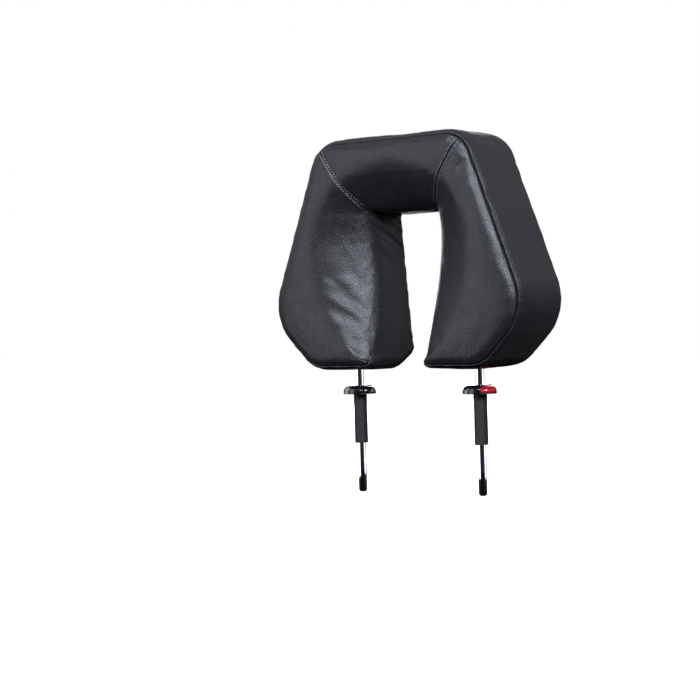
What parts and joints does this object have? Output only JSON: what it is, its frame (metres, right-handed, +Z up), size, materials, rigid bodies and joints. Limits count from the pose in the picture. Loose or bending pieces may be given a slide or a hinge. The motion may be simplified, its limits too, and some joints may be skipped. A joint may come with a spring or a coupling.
{
  "type": "chair headrest attachment",
  "caption": "Upholstered horseshoe headrest with a dished front and a slot, on twin chromed posts in clip-in guides with a height release button.",
  "frame": {"origin": "midway between the two post axes, on the chair's top face where the guide caps rest", "axes": "+Z up along the posts, +X towards the release button, -Y out of the padded front"},
  "size_m": [0.3398, 0.116, 0.425],
  "materials": {
    "guide_plastic": "moulded, black",
    "cap_plastic": "polished black",
    "ring_rubber": "matt black",
    "spring_steel": "bright drawn wire",
    "button_red": "polished red",
    "pin_steel": "ground",
    "rod_chrome": "bright chrome plate",
    "board_plywood": "sanded birch plywood",
    "saddle_steel": "zinc plated",
    "screw_steel": "zinc plated",
    "nut_brass": "yellow passivated",
    "base_foam": "firm open-cell foam",
    "soft_foam": "soft open-cell foam",
    "cover_leather": "satin black faux leather, fine grain"
  },
  "bodies": {
    "guides": {"guide_sleeve_left": "guide_plastic", "guide_sleeve_right": "guide_plastic", "cap_housing_left": "cap_plastic", "cap_housing_right": "cap_plastic", "blank_button_left": "cap_plastic", "rattle_ring_left": "ring_rubber", "rattle_ring_right": "ring_rubber", "button_spring": "spring_steel"},
    "release_button": {"release_button": "button_red", "lock_pin": "pin_steel"},
    "headrest": {"frame_rod": "rod_chrome", "backing_board": "board_plywood", "rod_saddles": "saddle_steel", "saddle_screws": "screw_steel", "tee_nuts": "nut_brass", "base_foam": "base_foam", "channel_foam": "base_foam", "front_foam": "soft_foam", "rear_foam": "soft_foam", "front_panel_left": "cover_leather", "front_panel_top": "cover_leather", "front_panel_right": "cover_leather", "side_band": "cover_leather", "slot_band": "cover_leather", "back_panel": "cover_leather"}
  },
  "joints": [
    {"name": "height_slide", "type": "slide", "parent": "guides", "child": "headrest", "axis": [0, 0, 1], "range_m": [-0.01, 0.05]},
    {"name": "release_press", "type": "slide", "parent": "guides", "child": "release_button", "axis": [-1, 0, 0], "range_m": [0, 0.0035], "stiffness_N_per_m": 900, "springref_m": -0.003, "deforming": ["button_spring"]}
  ]
}
